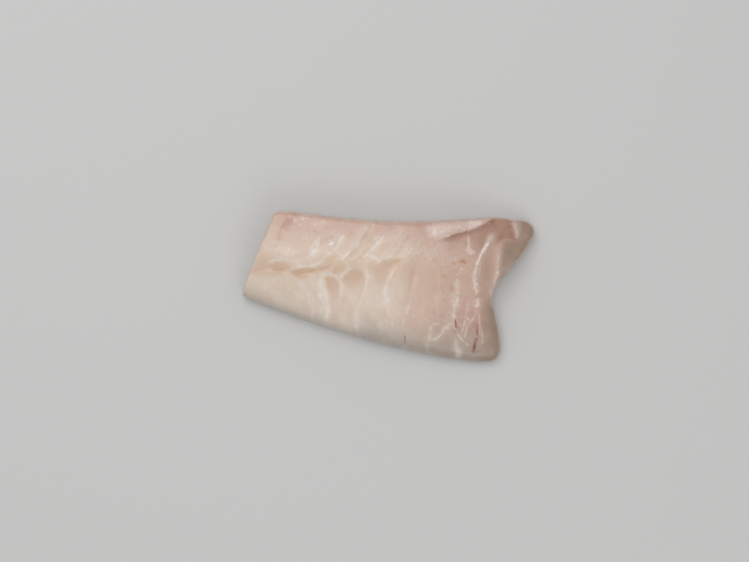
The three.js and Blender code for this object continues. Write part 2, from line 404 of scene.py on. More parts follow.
# White veins over the belly near the head
VEINS = (
    Stroke(0.46, 0.7, (
        (39.6, -21), (35.3, -24.3), (33.3, -26.5), (31.3, -29.9), (28.6, -32), (25, -33),
    ), halo=0.25),
    Stroke(0.38, 0.7, ((25, -34), (25.6, -28), (26.2, -24.1), (28.9, -22.6), (32, -22.4)), halo=0.25),
    Stroke(0.4, 0.8, ((42.6, -5), (41.4, -8), (40, -11.9), (39.6, -15.6), (39.3, -22))),
    fine_vein(0.5, ((39.3, -19.3), (39.5, -23), (41, -26.6), (44.5, -32.2), (49.7, -36.9))),
    Stroke(0.35, 1, ((40.9, -27.3), (41, -33.4), (41.7, -38.7), (44, -43.8))),
    Stroke(0.45, 0.4, ((46.4, -19.6), (45.4, -24.7), (44, -29)), halo=0.15),
    fine_vein(0.42, ((41.7, -19.3), (45, -18.2), (47.7, -19.3), (49.4, -21.3))),
    fine_vein(0.42, ((53.5, -13.3), (51.7, -18.6), (49.6, -22.1), (46.4, -25.6))),
    fine_vein(0.42, ((53.5, -13.3), (55.1, -18), (55.9, -23.3), (57.1, -29.4), (57.4, -36.7))),
    fine_vein(0.35, ((36.6, -14.5), (38.4, -17.6), (41.4, -20.2), (44.4, -25.2))),
    fine_vein(0.3, ((49, -9), (47.6, -13.4), (46.8, -18.6))),
    fine_vein(0.42, ((47.6, -24.4), (47.2, -27.6), (46.5, -31.6))),
    fine_vein(0.3, ((54, -13.6), (55, -19), (55.6, -24.5), (55.2, -30))),
)

# White membrane in the seams and on the ridges, milky flesh, and painted highlights on the wet flesh
WHITE = (
    *VEINS,
    # Along whole seams
    Stroke(0.12, 1, BACK_0),
    Stroke(0.44, 0.7, BACK_1, halo=0.26),
    Stroke(0.62, 0.7, BACK_2),
    Stroke(0.34, 0.9, BACK_3),
    Stroke(0.75, 0.7, BACK_4),
    Stroke(0.26, 1, BACK_5),
    Stroke(0.2, 1, BACK_6),
    Stroke(0.15, 1, BACK_7),
    Stroke(0.12, 1.2, BELLY_0),
    Stroke(0.3, 1.1, BELLY_1),
    Stroke(0.52, 1, BELLY_2),
    Stroke(0.28, 0.8, BELLY_3),
    Stroke(0.42, 1, BELLY_4),
    Stroke(0.3, 1.1, BELLY_5),
    Stroke(0.18, 0.9, BELLY_6),
    Stroke(0.12, 1.2, BELLY_7),
    # Brighter stretches of them, the first a painted glint high on BACK_2, and short lines between them
    Stroke(0.7, 0.6, ((-31.8, 23.8), (-30.2, 25.7), (-28.7, 28.5), (-28.1, 31.4))),
    Stroke(0.7, 0.65, ((-29, 15.3), (-26.7, 18.1), (-24.5, 20.3), (-22.6, 21.9))),
    Stroke(0.55, 0.6, ((-13.5, 18.7), (-10.3, 18.2), (-7.2, 17), (-5.8, 15.6), (-7.2, 13))),
    Stroke(0.35, 0.7, ((-29.6, 4.3), (-28.6, 6.1), (-26.4, 8.8), (-22.3, 11.7))),
    Stroke(0.4, 0.5, ((-64.9, 8.2), (-62, 7.9), (-59.8, 8.7))),
    Stroke(0.4, 0.6, ((-43, -4.6), (-40.7, -6.7))),
    Stroke(0.3, 0.7, ((-46, 36.6), (-42, 38.4), (-38, 39.6))),
    Stroke(0.3, 1, ((-0.8, 1), (-2.1, -2.7), (-1.6, -6.2), (-0.8, -10))),
    Stroke(0.3, 0.9, ((41.6, 5), (41.2, 0), (41.8, -5))),
    # Painted highlights along the crests of the ridges and the lip, over white membrane
    Stroke(1, 0.38, ((61.5, 28), (58.8, 23.9), (56.8, 20.7), (55.1, 17.8), (54, 14.9), (53.2, 11.5))),
    Stroke(0.62, 0.38, ((53.6, 13.4), (52.4, 8.3), (51.9, 4.6), (52.6, -1), (53.9, -6))),
    Stroke(0.5, 0.9, ((54, -6.6), (54.3, -9.9), (53.5, -13.3))),
    Stroke(0.28, 0.4, RIDGE_2),
    Stroke(0.45, 0.6, ((47.7, 34.8), (52.4, 36.6), (57.4, 39))),
    # Fine fibres across the flakes of the back
    *hatch(0.34, 0.34, (-46.9, 20.5), (-42.4, 28.2), (1.4, 1.2), 7),
    *hatch(0.25, 0.5, (-56.5, 39.5), (-52.5, 42.5), (0.9, 1.4), 4),
    *hatch(0.25, 0.5, (10, 22), (27, 20), (1.6, 2.2), 7),
    # Milky flesh above the lip, beside the wall where a painted highlight lies on its facet, at the second
    # seam and before the ridge
    Field(0.26, 2, (
        (23.6, 36.5), (22.9, 32.5), (26.9, 29.8), (32.3, 29.6), (41.7, 33.4), (47.7, 34.7), (57.1, 38.4),
        (65.8, 43.4), (55.1, 43.4), (45.7, 42.6), (37.7, 41.8), (29.6, 39.4),
    )),
    Field(0.25, 0.9, ((47.9, 36.1), (52.4, 37), (56.4, 38.8), (57.1, 40.5), (52.4, 40.8), (48.4, 39.9))),
    Field(0.22, 1, (
        (75.5, 40.4), (76.5, 35.8), (77.5, 31), (78.3, 29.4), (79.6, 30.6), (81.3, 33.6), (82, 37),
        (79.4, 40.2),
    ), full=(77, 35), bare=(84, 36)),
    Field(0.26, 0.7, (
        (-48.5, 19.1), (-44.3, 20.3), (-42.1, 25.4), (-41.1, 29.6), (-42.4, 29.4), (-46.4, 25.5),
        (-48.3, 21.5),
    )),
    Field(0.35, 0.8, (
        (46.4, 22.1), (48.4, 19.7), (51.7, 19.6), (52.4, 21.1), (49.6, 24.4), (48.9, 31.1), (47.9, 31),
        (47.7, 25.1),
    )),
    # A painted wet glint, then cloudy spots; the second of these is a painted cluster of small glints
    Patch(1, (-34.9, 25.9), (1.5, 0.7), 28),
    Patch(0.3, (-62, 21), (4, 3), 20),
    Patch(0.5, (27.9, 32.6), (1.5, 1.6)),
    Patch(0.45, (-13.3, 8.2), (1.3, 2.4), 8),
    Patch(0.3, (1.5, 18.2), (5.5, 1.4), 8),
    Patch(0.35, (61.8, 29.6), (2, 3), -35),
    Patch(0.2, (39.6, -6), (3.2, 4)),
    Patch(0.25, (41, -11.5), (3, 1.3)),
    Patch(0.25, (11.5, -13.6), (1.3, 3.4), -18),
    Patch(0.35, (62.8, -3.4), (1.4, 2.4), 20),
    Patch(0.22, (73.5, 10), (6.5, 3), 46),
    Patch(0.25, (42.5, -40), (2, 4.5), 15),
    Patch(0.15, (23.5, -38.5), (1, 4)),
    # Painted glints: specks along the two ridges, above the lip, along the last seam, over the back and over
    # the belly
    Specks(0.8, 0.4, 1.1, 26, 11, ((60, 25), (55.5, 15), (54, 6), (54.6, -4))),
    Specks(0.6, 0.4, 0.5, 12, 12, ((66.6, 12), (65, 2), (63, -5))),
    Specks(0.35, 0.5, 2.6, 26, 13, ((26, 33), (36, 35), (48, 38), (58, 41))),
    Specks(0.55, 0.45, 3, 34, 14, ((40, 18), (41, 4), (41, -8), (40, -18))),
    Specks(0.4, 0.5, 4, 40, 15, ((-60, 28), (-40, 24), (-20, 22), (4, 20), (26, 16))),
    Specks(0.4, 0.5, 2, 14, 16, ((-58, 41), (-50, 40))),
    Specks(0.35, 0.5, 4, 30, 17, ((-60, -6), (-30, -14), (0, -18), (24, -20))),
)
BACK_WHITE = tuple(Stroke(0.14, 0.7, route) for route in BACK_SEAMS)
BELLY_WHITE = tuple(Stroke(0.15, 0.7, route) for route in BELLY_SEAMS)

# Tan flesh in the wells at the heads of the flakes and along the lateral line, and tan as partly painted
# shade beside the seams and in a fold by the cut
TAN = (
    # Wells, from the square cut to the head
    Field(0.55, 0.9, (
        (-86.4, 9.8), (-79.7, 9.4), (-75.9, 10.4), (-72.7, 11.7), (-72.9, 12.7), (-75.3, 12), (-79.1, 11.2),
    )),
    Field(0.7, 0.9, (
        (-72.7, 12.3), (-71, 10.3), (-68.4, 9.3), (-64.6, 9.1), (-61.1, 10), (-59.4, 11.9), (-59.9, 13.6),
        (-62.7, 14.8), (-67.1, 14.9), (-70.9, 13.8),
    ), full=(-69, 10.5), bare=(-55, 16)),
    Field(0.85, 0.8, (
        (-59.9, 9.1), (-57.6, 8.1), (-54.5, 7.1), (-51.3, 7.5), (-47.5, 8.5), (-44.4, 9.6), (-44.7, 10.5),
        (-47.5, 11.4), (-52, 11.2), (-56.4, 10.3),
    )),
    Field(0.4, 1.2, ((-56.1, 7.4), (-53.5, 3.1), (-52.1, 5.2), (-51, 7.6))),
    Field(0.55, 1.2, (
        (-45.3, 10.5), (-43.1, 9.6), (-39, 10), (-34.9, 13), (-32.1, 16.2), (-31.8, 19.4), (-34.6, 19),
        (-37.4, 15.9), (-41.2, 12.9),
    )),
    Field(0.5, 1.2, (
        (-34.3, 9.6), (-33.7, 7.7), (-31.1, 7.5), (-28, 9.9), (-25.8, 13), (-28.6, 13.2), (-32.4, 12.1),
    )),
    Field(0.6, 1.3, (
        (-39, 5.8), (-37.8, 0.1), (-36.5, -4.9), (-34.9, -8.4), (-32.1, -8.7), (-30.5, -6.2), (-30, -1.8),
        (-30.5, 2.6), (-32.4, 5.3), (-35.9, 6.3),
    ), full=(-34, 1), bare=(-33, -11)),
    Field(0.62, 1.3, (
        (-28.3, 4.2), (-25.5, -1), (-21.4, -1.6), (-18.4, -2.6), (-18, -5.6), (-16.2, -5.9), (-14.7, -0.2),
        (-14.2, 4.2), (-16, 7.7), (-19.1, 10), (-22.6, 10.3), (-26.1, 8.1),
    ), full=(-20.5, 7.5), bare=(-20, -5)),
    Field(0.4, 1, (
        (-16, 0.7), (-17.8, -4.3), (-18.5, -8.7), (-17.1, -9), (-15.9, -6.2), (-14.4, -1.2), (-14.2, 3.1),
    )),
    Field(0.5, 1.4, (
        (-9.6, 9), (-7.7, 3.4), (-5.3, -2.2), (-3.4, -6.5), (-0.3, -3.4), (2.2, 2.8), (5.3, 9), (7.7, 13.9),
        (7.1, 17.4), (0.9, 17.4), (-5.3, 15.2),
    ), full=(3, 13), bare=(-6, -8)),
    Field(0.5, 1, (
        (13, 10.2), (12.1, 1.5), (10.2, -7.1), (9, -15.8), (11.4, -15.2), (13.9, -6.5), (15.2, 1.5),
        (15.6, 9.3),
    ), full=(14, 4), bare=(10, -16)),
    # Beside the seams, on their low side: painted shade where each flake steps down, over tan flesh
    Shade(0.35, 4, BACK_2),
    Shade(0.4, 4.5, BACK_3),
    Shade(0.4, 4.5, BACK_4),
    Shade(0.35, 4.5, BACK_5),
    Shade(0.25, 5, BACK_6),
    Shade(0.3, 5, BELLY_7),
    # Painted shade in the fold at the top corner of the cut, over tan flesh
    Stroke(0.85, 0.9, ((-64.6, 34.8), (-65.6, 32.4), (-66.4, 30), (-67.2, 27.4)), halo=0.5),
    # Along the lateral line, and spots
    Stroke(0.55, 1.2, ((-88, 8), (-78, 8.6), (-68, 8), (-60, 8), (-53, 6), (-45, 7.6))),
    Patch(0.3, (-20, 12), (60, 9), -4),
    Patch(0.45, (-77, 15), (7, 4), 10),
    Patch(0.4, (6.5, 15.2), (2.6, 1.5), 10),
    Patch(0.18, (-2, -17), (28, 7), -14),
)

# Blush along the back edge and towards the head, and painted shade in the fold at the top corner of the cut
ROSE = (
    Fade(0.6, (0, 46), (0, 16)),
    Fade(0.34, (15, 0), (3, 1)),
    Fade(0.42, (60, 0), (22, 0)),
    # Painted shade in the fold at the top corner of the cut, over rosier flesh
    Patch(0.6, (-59.6, 41.4), (5, 3.2), 35),
    Patch(0.14, (-40, 27), (40, 7)),
    Patch(0.3, (-25, 39), (8, 4), 20),
    Patch(0.3, (-4, 36), (7, 4), 30),
    Patch(0.3, (16, 38), (8, 4)),
    Patch(0.54, (47, -24), (16, 16)),
    Patch(0.42, (31, -30), (17, 9), -12),
    # Painted shade along the same fold
    Stroke(0.8, 1.2, ((-55.4, 45.4), (-58.4, 42.2), (-61.2, 38.6), (-65, 34)), halo=0.5),
    Stroke(0.5, 0.8, ((-42, 43), (-37, 42.4), (-31, 42.4))),
    Stroke(0.5, 0.8, ((-13, 37), (-8.5, 39), (-6, 40))),
    Stroke(0.5, 0.6, ((0.2, 37), (2, 35.2), (4.4, 37))),
    Stroke(0.5, 0.6, ((47.4, 36.3), (47.7, 38.5), (48.2, 40.6))),
    Patch(0.5, (27.5, -15.4), (1, 2.6)),
    Patch(0.4, (33.5, 6.5), (1, 0.8)),
    Specks(0.35, 1.2, 4, 30, 21, ((20, 24), (34, 12), (34, -6), (32, -22))),
    Specks(0.3, 1.4, 3, 26, 22, ((-50, 36), (-20, 34), (8, 31), (24, 26))),
)

# Brown under the lip and in the hollow: painted shadow below the lip, along the sill and beside the wall,
# over browner flesh
UMBER_AND_SHADE = (
    # Painted shadow under the lip: a dark line along it and a broad fall below it
    Shade(0.45, 2.2, LIP),
    Shade(0.42, 7.5, LIP),
    Field(0.5, 2.4, (
        (62.5, 39.8), (63, 35.1), (64.5, 30.4), (67, 28.5), (71.9, 30.1), (77.1, 29.4), (75.8, 35.8),
        (74.9, 40.8), (71.9, 44.4), (66.5, 44),
    ), full=(73, 34), bare=(58, 33)),
    # Painted shadow lines along the sill and beside the wall
    Stroke(0.45, 0.9, SILL),
    Stroke(0.55, 0.7, ((74.6, 38.5), (75.6, 34.6), (76.6, 30))),
    Patch(0.16, (72.6, 40.4), (3.4, 3)),
    Patch(0.25, (58, 27), (6, 6), 30),
    Patch(0.5, (-4.9, 31), (0.8, 0.5), 45),
)

# Rust where a bone or vessel bruised the flesh
RUST = (
    Patch(0.75, (44.8, 15.6), (1.6, 1.2)),
    Patch(0.55, (46, 14.4), (1.2, 1)),
    Patch(0.45, (43, 15), (1.5, 0.7)),
    Patch(0.6, (39.3, 14.1), (1.1, 0.7)),
    Patch(0.3, (38.6, 0.4), (1, 2.2)),
    Patch(0.25, (32, 0), (1, 2.4), 10),
    Patch(0.14, (35, 2), (6, 7)),
    Specks(0.35, 0.8, 3, 16, 31, ((33, 12), (37, 2), (36, -10))),
)

# Thin glassy flesh at the head end
GLASSY = (
    Field(0.9, 3, (
        (70, 27), (68, 17), (67.6, 8), (68, -1), (75, 6), (86, 18), (96, 32), (94, 46), (78, 46), (77.5, 36),
        (78.5, 29.5), (74, 28.2),
    )),
    Field(0.95, 6, ((59, -10), (59, -28), (57, -52), (80, -52), (76, -20), (70, -8))),
    Patch(0.42, (59, 6), (5, 24)),
    Patch(0.55, (46, -37), (26, 14)),
)

# Grey towards the belly edge: painted shade where the flesh slopes away, over thin greyer flesh
ASH_AND_SHADE = (
    Shade(0.7, 7, BELLY_EDGE),
    Shade(0.85, 14, FLAP_EDGE),
)

# Blood left in small vessels
BLOOD = (
    Stroke(0.9, 0.4, ((54, -22), (53.8, -27.3), (54.6, -30.6), (53.4, -33.2)), halo=0.06),
    Stroke(1, 0.62, ((53.9, -30.6), (52.9, -34.4), (52.4, -37.4), (52.2, -41.4)), halo=0.08),
    Stroke(1, 0.6, ((53.2, -32.6), (52.7, -36), (52.2, -40.6)), halo=0.06),
    Stroke(0.85, 0.42, ((40.9, -19.4), (40.8, -22), (41, -25.2)), halo=0.06),
    Stroke(0.7, 0.34, ((10, -29.8), (9.8, -35)), halo=0.06),
    Patch(0.4, (55.2, -39.9), (1.6, 0.5)),
)

# Streaks of the flesh, which run as the seams do

LATERAL_BAND = (7, 14)  # where the belly's upright streaks turn into the back's slanting ones, in mm
BACK_LEAN = 0.66  # how far a seam of the back leans towards the head for each mm that it climbs
FOOT_LEAN = 2.2  # the same near the lateral line
FOOT_TOP = 18  # up to where that is so, in mm
FOOT_BEND = 1.5  # how softly the one turns into the other, in mm
BELLY_LEAN_AT = (-50, -15)  # two places along the belly, in mm
BELLY_LEANS = (-0.3, 0.2)  # how far its seams lean there
BACK_STREAKS = ((1.2, 8), (3.4, 15))  # width and length of the fine streaks and of the broad ones, in mm
BELLY_STREAKS = ((2, 5), (4.5, 9))


def flowing_streaks(flow, sizes, seed):
    """Fine and broad streaks in equal shares, over a plan that is sheared to run with the seams."""
    fine, broad = sizes
    return 0.5 * drift(flow, fine, seed) + 0.5 * drift(flow, broad, seed + 1)


def flake_streaks(plan):
    """Streaks from 0 to 1, slanting over the back and nearly upright below the lateral line."""
    x, y = plan.T
    below = FOOT_BEND * np.log1p(np.exp((FOOT_TOP - y) / FOOT_BEND))
    back = np.column_stack([x - BACK_LEAN * y + (FOOT_LEAN - BACK_LEAN) * below, y])
    belly = np.column_stack([x - np.interp(x, BELLY_LEAN_AT, BELLY_LEANS) * y, y])
    on_back = flowing_streaks(back, BACK_STREAKS, seed=6)
    on_belly = flowing_streaks(belly, BELLY_STREAKS, seed=8)
    share = smoothstep(*LATERAL_BAND, y)
    return share * on_back + (1 - share) * on_belly


# Shader maths as expressions


class Wire:
    """A node socket that can be added, multiplied and so on, each time through a Math node."""

    def __init__(self, tree, socket=None):
        self.tree = tree
        self.socket = socket

    def add_node(self, kind, settings=None, inputs=None, output=0):
        """A new node's output, with its settings made first and then its sockets filled or linked."""
        node = self.tree.nodes.new(kind)
        for name, value in (settings or {}).items():
            setattr(node, name, value)
        for name, value in (inputs or {}).items():
            if isinstance(value, Wire):
                self.tree.links.new(value.socket, node.inputs[name])
            else:
                node.inputs[name].default_value = value
        return Wire(self.tree, node.outputs[output])

    def math(self, operation, *values):
        return self.add_node("ShaderNodeMath", {"operation": operation}, dict(enumerate(values)))

    def __add__(self, other):
        return self.math("ADD", self, other)

    def __sub__(self, other):
        return self.math("SUBTRACT", self, other)

    def __rsub__(self, other):
        return self.math("SUBTRACT", other, self)

    def __mul__(self, other):
        return self.math("MULTIPLY", self, other)

    __radd__ = __add__
    __rmul__ = __mul__

    def clamp(self):
        return self.add_node("ShaderNodeClamp", None, {0: self})

    def over(self, low, gain):
        """How far this value stands over a low one, times a gain, from 0 to 1."""
        return ((self - low) * gain).clamp()

    def mix(self, first, second):
        """A colour between two, with this value as the share of the second."""
        settings = {"data_type": "RGBA"}
        return self.add_node("ShaderNodeMix", settings, {"Factor": self, "A": first, "B": second}, "Result")


# Properties that a user would change


def colour(name, description, code):
    return bpy.props.FloatVectorProperty(
        name=name, description=description, default=linear(code), size=3, min=0, max=1, subtype="COLOR"
    )


def length(name, description, metres):
    return bpy.props.FloatProperty(name=name, description=description, default=metres, min=0, unit="LENGTH")


def power(name, description, watts):
    return bpy.props.FloatProperty(name=name, description=description, default=watts, min=0, unit="POWER")


def factor(name, description, value):
    return bpy.props.FloatProperty(name=name, description=description, default=value, min=0, subtype="FACTOR")


class FilletColours(bpy.types.PropertyGroup):
    flesh: colour("Flesh", "Body of the flakes", "D6C1B0")
    pale: colour("Pale flesh", "Cloudier flesh in the mottling", "DED0C2")
    # Tan also stands for painted shade beside the seams and in the fold at the top corner of the cut
    tan: colour("Tan flesh", "Flesh in the wells at the heads of the flakes", "C7A587")
    # Rose also carries painted shade in the fold at the top corner of the cut
    rose: colour("Rose flesh", "Blush along the back and towards the head", "B98E7E")
    # Also the colour of the painted shadow under the lip, along the sill and beside the wall
    umber_and_shade: colour("Umber", "Flesh under the lip and in the hollow", "85583F")
    rust: colour("Rust", "Bruised spots", "B5764F")
    glassy: colour("Glassy flesh", "Thin flesh at the head end", "937E6C")
    # Also the colour of the painted shade along the belly edge
    ash_and_shade: colour("Ash", "Thin flesh along the belly edge", "A79D93")
    # Also the colour of the painted glints and highlights
    membrane_and_glints: colour("Membrane", "White membrane in the seams, and veins", "F0E9E3")
    blood: colour("Blood", "Traces of blood in the small vessels", "74100C")


class FilletSizes(bpy.types.PropertyGroup):
    grain: length("Grain", "Size of the finest lumps", 2.2 * MM)
    grain_depth: length("Grain depth", "Height of the finest lumps", 0.1 * MM)
    lump: length("Lump", "Size of the broad unevenness", 10 * MM)
    lump_depth: length("Lump depth", "Height of the broad unevenness", 0.6 * MM)
    vein_height: length("Vein height", "How far a vein stands up", 0.06 * MM)
    streak_depth: length("Streak depth", "Depth of the furrows along the flakes", 0.06 * MM)


class FilletStage(bpy.types.PropertyGroup):
    camera_height: length("Camera height", "Camera above the floor", 1)
    key_power: power("Key light", "Power of the soft light over the back", 6.4)
    fill_power: power("Fill light", "Power of the soft light over the belly", 2.2)
    glint_power: power("Glint light", "Power of the small light that the wet flesh mirrors", 0.7)
    sky: factor("Sky", "Strength of the even light from all round", 0.6)


# Mesh of the flesh

MERGE_DISTANCE = 0.2 * MM  # vertices nearer than this are one, as in the crowded corners of the rim
PAIRING_ANGLE = math.radians(60)  # two triangles at less than this become one quad
PAIRING_SKEW = math.radians(90)  # how far from square that quad's corners may be
BASE_TURN = -0.99  # how far down a face of the base looks, as a cosine
RIM_INSET = 0.6 * MM  # a band round the base that keeps its edge crisp
SMOOTHING = 2  # rounds of subdivision
LUMP_OCTAVES = 2  # finer rounds of lumps on the broad ones
GRAIN_OCTAVES = 0
CUT_FACING = (-0.926, 0.378, 0)  # the way that the square cut faces
LUMPS_FROM = (0.5, 3)  # heights above the base where the lumps start and where they are full, in mm


class Faces(NamedTuple):
    """The sides that the fillet's marks are seen from."""

    top: Face
    back: Face
    belly: Face
    cut: Face


def deselect_all():
    if bpy.context.object and bpy.context.object.mode != "OBJECT":
        bpy.ops.object.mode_set(mode="OBJECT")
    bpy.ops.object.select_all(action="DESELECT")


def copy_of_solid(node, name):
    """A separate object with the node's mesh, its triangles paired into quads and its base left open."""
    piece = bpy.data.objects.new(name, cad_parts[node].data.copy())
    bpy.context.scene.collection.objects.link(piece)
    deselect_all()
    piece.select_set(True)
    bpy.context.view_layer.objects.active = piece
    bpy.ops.object.mode_set(mode="EDIT")
    bpy.ops.mesh.select_all(action="SELECT")
    bpy.ops.mesh.remove_doubles(threshold=MERGE_DISTANCE)
    bpy.ops.mesh.tris_convert_to_quads(face_threshold=PAIRING_ANGLE, shape_threshold=PAIRING_SKEW)
    bpy.ops.mesh.select_all(action="DESELECT")
    bpy.ops.object.mode_set(mode="OBJECT")
    for face in piece.data.polygons:
        face.select = face.normal.z < BASE_TURN
    bpy.ops.object.mode_set(mode="EDIT")
    bpy.ops.mesh.select_mode(type="FACE")
    bpy.ops.mesh.dissolve_faces()
    bpy.ops.mesh.inset(thickness=RIM_INSET, use_even_offset=False)
    bpy.ops.mesh.delete(type="ONLY_FACE")
    bpy.ops.object.mode_set(mode="OBJECT")
    return piece


def fill_base():
    """Closes the open base of the active piece with flat triangles."""
    bpy.ops.object.mode_set(mode="EDIT")
    bpy.ops.mesh.select_mode(type="EDGE")
    bpy.ops.mesh.select_all(action="DESELECT")
    bpy.ops.mesh.select_non_manifold()
    bpy.ops.mesh.edge_face_add()
    bpy.ops.mesh.quads_convert_to_tris(ngon_method="BEAUTY")
    bpy.ops.object.mode_set(mode="OBJECT")


def apply_modifier(piece, kind, **settings):
    modifier = piece.modifiers.new(kind.title(), kind)
    for name, value in settings.items():
        setattr(modifier, name, value)
    bpy.ops.object.modifier_apply(modifier=modifier.name)


def displace(piece, name, weights, **settings):
    """Moves the surface along its normals, each vertex by its own weight."""
    group = piece.vertex_groups.new(name=name)
    for vertex in np.flatnonzero(weights):
        group.add([int(vertex)], float(weights[vertex]), "REPLACE")
    apply_modifier(piece, "DISPLACE", vertex_group=name, **settings)
    piece.vertex_groups.clear()


def press(piece, name, heights):
    """Raises and sinks the surface by heights in metres."""
    for way, sign in (("raised", 1), ("sunk", -1)):
        part = np.clip(sign * heights, 0, None)
        most = part.max()
        displace(piece, f"{name}_{way}", part / most, strength=sign * most, mid_level=0)


def press_noise(piece, name, size, depth, octaves, weights):
    """Lumps of a given size over the surface, and finer octaves of them, where the weights let them."""
    lumps = bpy.data.textures.new(name, "CLOUDS")
    lumps.noise_scale = size
    lumps.noise_depth = octaves
    displace(piece, name, weights, texture=lumps, texture_coords="LOCAL", strength=depth, mid_level=0.5)


def fillet_faces(piece):
    """The piece from above, from its two long sides and square on to the cut."""
    return Faces(
        top=Face(piece, across=(1, 0, 0), up=(0, 1, 0), facing=(0, 0, 1)),
        back=Face(piece, across=(1, 0, 0), up=(0, 0, 1), facing=(0, 1, 0), least=SIDE_LEAST_TURN),
        belly=Face(piece, across=BELLY_ACROSS, up=(0, 0, 1), facing=BELLY_FACING, least=SIDE_LEAST_TURN),
        cut=Face(piece, across=(0, 1, 0), up=(0, 0, 1), facing=CUT_FACING),
    )


def press_relief(piece, faces, streaks, sizes):
    """Seams and folds, veins that stand up, furrows along the flakes, and lumps."""
    top = faces.top
    stepped = ((top, TOP_STEPS), (faces.back, BACK_STEPS), (faces.belly, BELLY_STEPS))
    seams = sum(step.height(face) for face, steps in stepped for step in steps)
    furrows = (streaks - 0.5) * sizes.streak_depth
    veins = cover(top, VEINS, top.shown) * sizes.vein_height
    press(piece, "relief", seams * MM + furrows + veins)
    above_rim = smoothstep(*LUMPS_FROM, top.height)
    press_noise(piece, "lumps", sizes.lump, sizes.lump_depth, LUMP_OCTAVES, above_rim)
    press_noise(piece, "grain", sizes.grain, sizes.grain_depth, GRAIN_OCTAVES, above_rim)


# Colour and finish of the flesh

UNDER_TURN = (-0.7, -0.3)  # how far down a side looks where tones on it are gone and where full, as cosines
LOW_SHARE = 0.3  # how much of the top's zones is left at the foot of a side
SIDE_HEIGHTS = (4, 20)  # heights between which that share grows to all of it, in mm
CUT_TURN = (0.6, 0.9)  # how far towards the square cut's view its rings start and are full, as cosines
HEAD_TURN = (0.5, 0.9)  # the same for the head end, which looks the other way
HEAD_RINGS = 0.45  # strength of the head end's rings, against those of the cut
CUT_MIDDLE = (-79.2 * MM, 22.5 * MM, -3 * MM)  # where the rings in the cut face have their middle
CUT_STRETCH = (1, 1.9, 1)  # how much wider than high they are
RING_SCALE = 70  # a ring every 4.5 mm
RING_WAVER = {"Distortion": 6, "Detail": 1, "Detail Scale": 1.1}
MOTTLE_SCALE = 110  # broad clouds, about 9 mm across
PATCH_SCALE = 420  # small patches, about 2.4 mm across
GRAIN_SCALE = 1300  # fine grain, about 0.8 mm across
ROUGHNESS = 0.34
BUMP = {"Strength": 0.3, "Distance": 0.2 * MM}
FINISH = {
    "IOR": 1.38,
    "Subsurface Weight": 0.35,
    "Subsurface Radius": (1, 0.6, 0.4),
    "Subsurface Scale": 2.5 * MM,
    "Coat Weight": 0.45,
    "Coat Roughness": 0.12,
}


def paint(piece, name, values):
    layer = piece.data.attributes.new(name, "FLOAT", "POINT")
    layer.data.foreach_set("value", np.clip(values, 0, 1).astype(np.float32))


def paint_flesh(piece, faces, streaks):
    """Paints what the marks cover. Small marks stay on top, and broad zones run down the sides."""
    top, back, belly, cut = faces
    sides = smoothstep(*UNDER_TURN, top.turned)
    high = LOW_SHARE + (1 - LOW_SHARE) * smoothstep(*SIDE_HEIGHTS, top.height)
    over_rim = top.shown + (1 - top.shown) * sides * high
    # White holds painted highlights besides membrane; tan holds some painted shade beside the seams
    details = {"white": WHITE, "tan": TAN, "rust": RUST, "blood": BLOOD}
    # Umber holds painted shadow under the lip besides brown flesh
    zones = {"rose": ROSE, "umber_and_shade": UMBER_AND_SHADE, "glassy": GLASSY}
    covers = {name: cover(top, marks, top.shown) for name, marks in details.items()}
    covers |= {name: cover(top, marks, over_rim) for name, marks in zones.items()}
    covers["white"] += cover(back, BACK_WHITE, back.shown) + cover(belly, BELLY_WHITE, belly.shown)
    # Painted shade and thin grey flesh along the belly edge, down its side
    covers["ash_and_shade"] = cover(top, ASH_AND_SHADE, sides)
    covers["cut"] = smoothstep(*CUT_TURN, cut.turned) + HEAD_RINGS * smoothstep(*HEAD_TURN, -cut.turned)
    covers["streaks"] = streaks
    for name, values in covers.items():
        paint(piece, name, values)


class Grain(NamedTuple):
    """Unevenness of the flesh, each part of it from 0 to 1."""

    mottle: Wire
    patchy: Wire
    fine: Wire
    streaks: Wire


def painted(start, name):
    return start.add_node("ShaderNodeAttribute", {"attribute_name": name}, output="Fac")


def noise(start, place, scale, detail):
    inputs = {"Vector": place, "Scale": scale, "Detail": detail}
    return start.add_node("ShaderNodeTexNoise", None, inputs, "Fac")


def flesh_grain(start, place):
    return Grain(
        mottle=noise(start, place, MOTTLE_SCALE, detail=5).over(0.3, 2.4),
        patchy=noise(start, place, PATCH_SCALE, detail=3).over(0.25, 2),
        fine=noise(start, place, GRAIN_SCALE, detail=2),
        streaks=painted(start, "streaks").over(0.25, 2),
    )


def cut_rings(start, place):
    """Rings of the flakes in the cut face, from 0 to 1."""
    turn = math.atan2(CUT_FACING[1], CUT_FACING[0])
    cut_place = start.add_node(
        "ShaderNodeMapping",
        {"vector_type": "TEXTURE"},
        {"Vector": place, "Location": CUT_MIDDLE, "Rotation": (0, 0, turn), "Scale": CUT_STRETCH},
    )
    return start.add_node(
        "ShaderNodeTexWave",
        {"wave_type": "RINGS", "rings_direction": "X"},
        {"Vector": cut_place, "Scale": RING_SCALE, **RING_WAVER},
        "Fac",
    )


